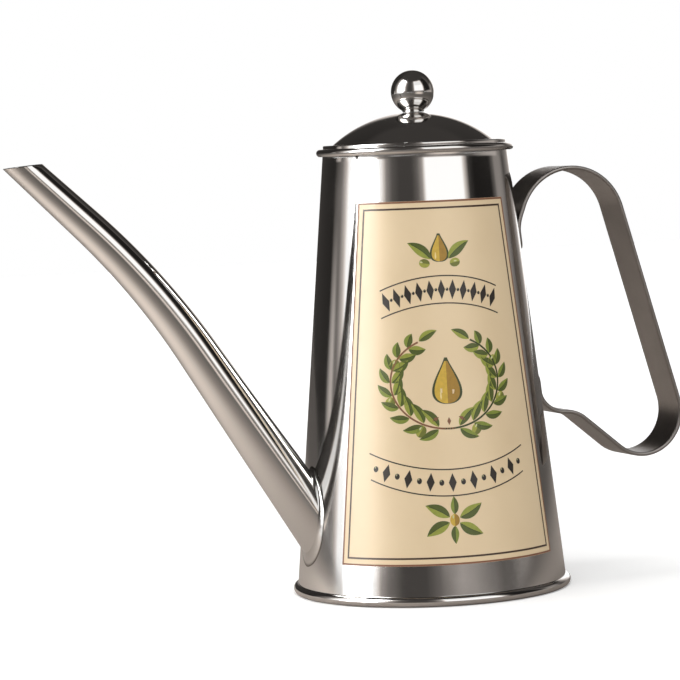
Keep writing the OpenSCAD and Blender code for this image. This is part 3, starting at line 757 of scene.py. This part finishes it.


# ---- The table ----
# What the metal shows of the studio's table: a warm grey top with painted light on it, a broad
# painted pool of light round the can, a bright painted sheen beside it on the left, and painted
# window light far off. Only glossy rays meet it.
def for_metal_only(obj, colours, mat, nodes, links, socket):
    """Shows a set piece to glossy rays alone, in the given point colours."""
    layer = obj.data.color_attributes.new(name="Tone", type="FLOAT_COLOR", domain="POINT")
    rgba = np.concatenate([colours.reshape(-1, 3), np.ones((colours.size // 3, 1))], axis=1)
    layer.data.foreach_set("color", rgba.astype(np.float32).ravel())
    tone = nodes.new("ShaderNodeVertexColor")
    tone.layer_name = "Tone"
    links.new(tone.outputs["Color"], socket)
    obj.data.materials.append(mat)
    obj.visible_camera = obj.visible_diffuse = obj.visible_shadow = False
    obj.visible_transmission = obj.visible_volume_scatter = False


# The grid is fine near the can: distances go as 0.06 sinh of even steps. u is to the
# camera's right and v towards it, in metres.
CAMERA_TURN = math.radians(-22)
TABLE_CELLS, TABLE_Z, TABLE_GREY, TABLE_PAINTED_LIT = 161, -0.00005, 0.08, 0.84
TABLE_TINT = np.array([1.0, 0.87, 0.77])
steps = 0.06 * np.sinh(np.linspace(-4.6, 4.6, TABLE_CELLS))
u, v = np.meshgrid(steps, steps, indexing="ij")
# Painted light on the table: a broad painted pool of light centred behind the can on its left, a brighter
# painted sheen beside the can on the left, and painted window light from 0.6 m out, towards the camera on the
# right.
painted_light_pool = np.exp(-((u + 0.12) ** 2 + (v + 0.12) ** 2) / (2 * 0.28 ** 2))
painted_left_sheen = np.exp(-((u + 0.2) ** 2 + (v - 0.06) ** 2) / (2 * 0.08 ** 2))
window_turn = (np.degrees(np.arctan2(u, v)) - 36) / 20
painted_window_light = np.clip((np.hypot(u, v) - 0.6) / 0.3, 0, 1) * np.exp(-window_turn ** 4)
# Painted light: the dim grey is raised by the pool, then towards the painted lit level by the sheen and the
# window light.
level = TABLE_GREY + 0.3 * painted_light_pool
level = level + (TABLE_PAINTED_LIT - level) * np.maximum(painted_left_sheen, painted_window_light)
table_x = u * math.cos(CAMERA_TURN) + v * math.sin(CAMERA_TURN)
table_y = u * math.sin(CAMERA_TURN) - v * math.cos(CAMERA_TURN)
table_points = np.stack([table_x, table_y, 0 * u + TABLE_Z], axis=2)
table = set_piece("table", table_points, grid_faces(TABLE_CELLS, TABLE_CELLS))
felt, nodes, links, shader = material("table_top", (0.3, 0.27, 0.25), 0.0, 0.8)
for_metal_only(table, level[..., None] * TABLE_TINT, felt, nodes, links, shader.inputs["Base Color"])

# ---- The surround ----
# Black flags and soft boxes stand all round the can, as a photographer of bright metal sets
# them, with one opening to the white backdrop. Only glossy rays meet them.
BOX, WINDOW, DOME_RADIUS, BRIGHTNESS = 7.5, 1.05, 12, 1.2
OPEN_LEFT, OPEN_RIGHT, OPEN_LOW, OPEN_HIGH = 12, 58, 32, 50
WARM_LOSS = np.array([0, 0.09, 0.15])
# Each ring gives the light round the can as pairs (direction in degrees, strength), 0 to the
# camera and more to the right. plan says at which heights, in degrees, each one holds.
lower = ((-180, 0.9), (-172, 0.04), (-116, 0.02), (-110, 0.4), (-107, 0.5), (-103, 0.14), (-100, 0.14),
         (-95, 0.4), (-90, 1.0), (-84, 1.0), (-80, 2.2), (-56, 2.2), (-52, 1.0), (-48, 0.8), (-44, 0.3),
         (-37, 0.15), (-24, 0.055), (-4, 0.06), (7, 0.12), (17, 0.22), (26, 0.3), (38, 0.26), (50, 0.16),
         (64, 0.09), (74, 0.11), (90, 0.3), (103, 0.36), (116, 0.39), (122, 0.22), (133, 0.08), (145, 0.17),
         (154, 0.3), (163, 1.1), (180, 1.1))
upper = ((-180, 1.0), (-173, 0.12), (-168, 0.03), (-116, 0.02), (-101, 0.16), (-94, 0.45), (-89, 1.0),
         (-84, 1.0), (-80, BOX), (-50, BOX), (-46, 1.0), (-42, 0.9), (-36, 0.24), (-29, 0.09), (-20, 0.05),
         (-5, 0.05), (2, 0.11), (8, 0.3), (12, WINDOW), (58, WINDOW), (62, 0.5), (67, 0.04), (75, 0.012),
         (101, 0.014), (108, 0.1), (112, 0.22), (125, 0.22), (134, 0.05), (140, 0.1), (148, 0.3),
         (160, 1.0), (180, 1.0))
top = ((-180, 0.04),) + upper[2:-7] + ((112, 0.06), (140, 0.03), (180, 0.04))
ceiling = ((-180, 0.04), (180, 0.04))
plan = ((-90, lower), (3, lower), (6, upper), (18, upper), (25, top), (50, top), (57, ceiling), (90, ceiling))
direction, rise = np.arange(-180, 181), np.arange(-90, 91)
heights = np.array([height for height, _ in plan])
rings = np.array([np.interp(direction, *zip(*stops)) for _, stops in plan])
light = BRIGHTNESS * np.array([np.interp(rise, heights, ring) for ring in rings.T])
a, b = np.meshgrid(np.radians(direction) + CAMERA_TURN, np.radians(rise), indexing="ij")
dome = DOME_RADIUS * np.stack([np.cos(b) * np.sin(a), -np.cos(b) * np.cos(a), np.sin(b)], axis=2)
faces = grid_faces(len(direction), len(rise))
at, height = direction[faces // len(rise)].mean(axis=1), rise[faces % len(rise)].mean(axis=1)
opening = (at > OPEN_LEFT) & (at < OPEN_RIGHT) & (height > OPEN_LOW) & (height < OPEN_HIGH)
surround = set_piece("surround", dome, faces[~opening])
flags, nodes, links, shader = material("surround", (0, 0, 0), 0.0, 1.0)
shader.inputs["Specular IOR Level"].default_value = 0.0
shader.inputs["Emission Strength"].default_value = 1.0
# Dim light is warmer: it loses green and blue as it falls.
cast = 1 - WARM_LOSS * np.clip(3 - 2.5 * light, 0, 1)[..., None]
for_metal_only(surround, light[..., None] * cast, flags, nodes, links, shader.inputs["Emission Color"])

# ---- The backdrop and the lamps ----
# A white backdrop all round, dimmer as a light than it looks. Three soft square lamps and a
# wide overhead one light the can at a plain level; none shows in the metal.
BACKDROP_LIGHT, BACKDROP_SEEN, LAMP_AIM = 0.38, 1.0, np.array((0, 0, 0.07))
world = bpy.data.worlds.new("studio")
bpy.context.scene.world = world
world.use_nodes = True
nodes, links = world.node_tree.nodes, world.node_tree.links
backdrop = nodes["Background"]
backdrop.inputs["Color"].default_value = (1, 1, 1, 1)
links.new(remap(nodes, links, seen_rays(nodes, links), 0, 1, BACKDROP_LIGHT, BACKDROP_SEEN),
          backdrop.inputs["Strength"])

for name, place, size, power in (("lamp_left", (-0.75, -0.95, 0.6), 0.7, 3.5),
                                 ("lamp_right", (0.8, -0.6, 0.7), 0.7, 0.15),
                                 ("lamp_top", (0, 0.1, 1.3), 1.6, 4.0)):
    lamp = bpy.data.objects.new(name, bpy.data.lights.new(name, "AREA"))
    lamp.data.size = size
    lamp.data.energy = power
    lamp.location = place
    lamp.rotation_euler = Vector(-np.array(place) + LAMP_AIM).to_track_quat("-Z", "Y").to_euler()
    lamp.visible_glossy = False
    bpy.context.scene.collection.objects.link(lamp)

overhead = bpy.data.objects.new("overhead", bpy.data.lights.new("overhead", "SUN"))
overhead.data.energy = 1.2
overhead.data.angle = math.radians(60)
overhead.visible_glossy = False
bpy.context.scene.collection.objects.link(overhead)

# ---- The camera ----
# A long lens from the front left, level with the mouth and slightly rolled, as fitted to the
# photo's frame of 680 x 680.
RANGE, EYE_Z = 1.0206, (150.8 + FOOT_Z) * MM
YAW, PITCH, ROLL, FOCAL_PX = -0.0281, 0.06346, -0.04189, 2936.2
FRAME_PX, SENSOR, FAR_END = 680, 36, 20
ahead = np.array([-math.sin(CAMERA_TURN), math.cos(CAMERA_TURN), 0])
across_view = np.array([math.cos(CAMERA_TURN), math.sin(CAMERA_TURN), 0])
level_view = math.cos(YAW) * ahead + math.sin(YAW) * across_view
forward = math.cos(PITCH) * level_view - np.array([0, 0, math.sin(PITCH)])
right = np.cross(forward, (0, 0, 1))
right /= np.linalg.norm(right)
up_view = np.cross(right, forward)
right, up_view = (math.cos(ROLL) * right + math.sin(ROLL) * up_view,
                  math.cos(ROLL) * up_view - math.sin(ROLL) * right)
camera = bpy.data.objects.new("camera", bpy.data.cameras.new("camera"))
camera.data.sensor_width = SENSOR
camera.data.lens = FOCAL_PX * SENSOR / FRAME_PX
camera.data.clip_end = FAR_END
matrix = np.eye(4)
matrix[:3, :3] = np.stack([right, up_view, -forward], axis=1)
matrix[:3, 3] = (RANGE * math.sin(CAMERA_TURN), -RANGE * math.cos(CAMERA_TURN), EYE_Z)
camera.matrix_world = Matrix(matrix.tolist())
bpy.context.scene.collection.objects.link(camera)
bpy.context.scene.camera = camera
bpy.context.scene.view_settings.view_transform = "Standard"
